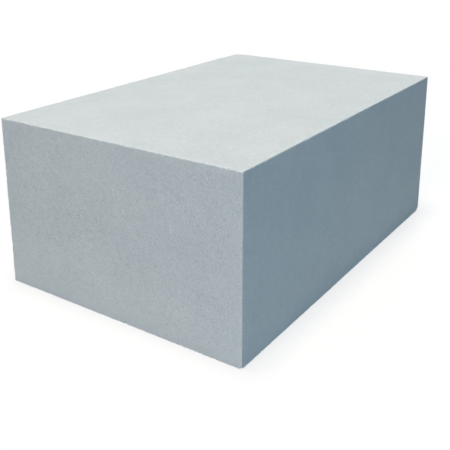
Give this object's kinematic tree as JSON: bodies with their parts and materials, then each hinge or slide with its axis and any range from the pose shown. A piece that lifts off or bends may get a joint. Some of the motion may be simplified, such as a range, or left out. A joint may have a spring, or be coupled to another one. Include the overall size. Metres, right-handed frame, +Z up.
{
  "type": "concrete block",
  "caption": "Solid rectangular wall block of aerated concrete with plain wire-cut faces, laid in courses to build walls.",
  "frame": {"origin": "middle of the lower bed face", "axes": "+X along the block's length, +Y along its width, +Z up through its height, from the lower to the upper bed face"},
  "size_m": [0.6, 0.4, 0.25],
  "materials": {
    "aerated_concrete": "matt, fine-pored, wire-cut"
  },
  "bodies": {
    "root": {"concrete_block": "aerated_concrete"}
  },
  "joints": []
}
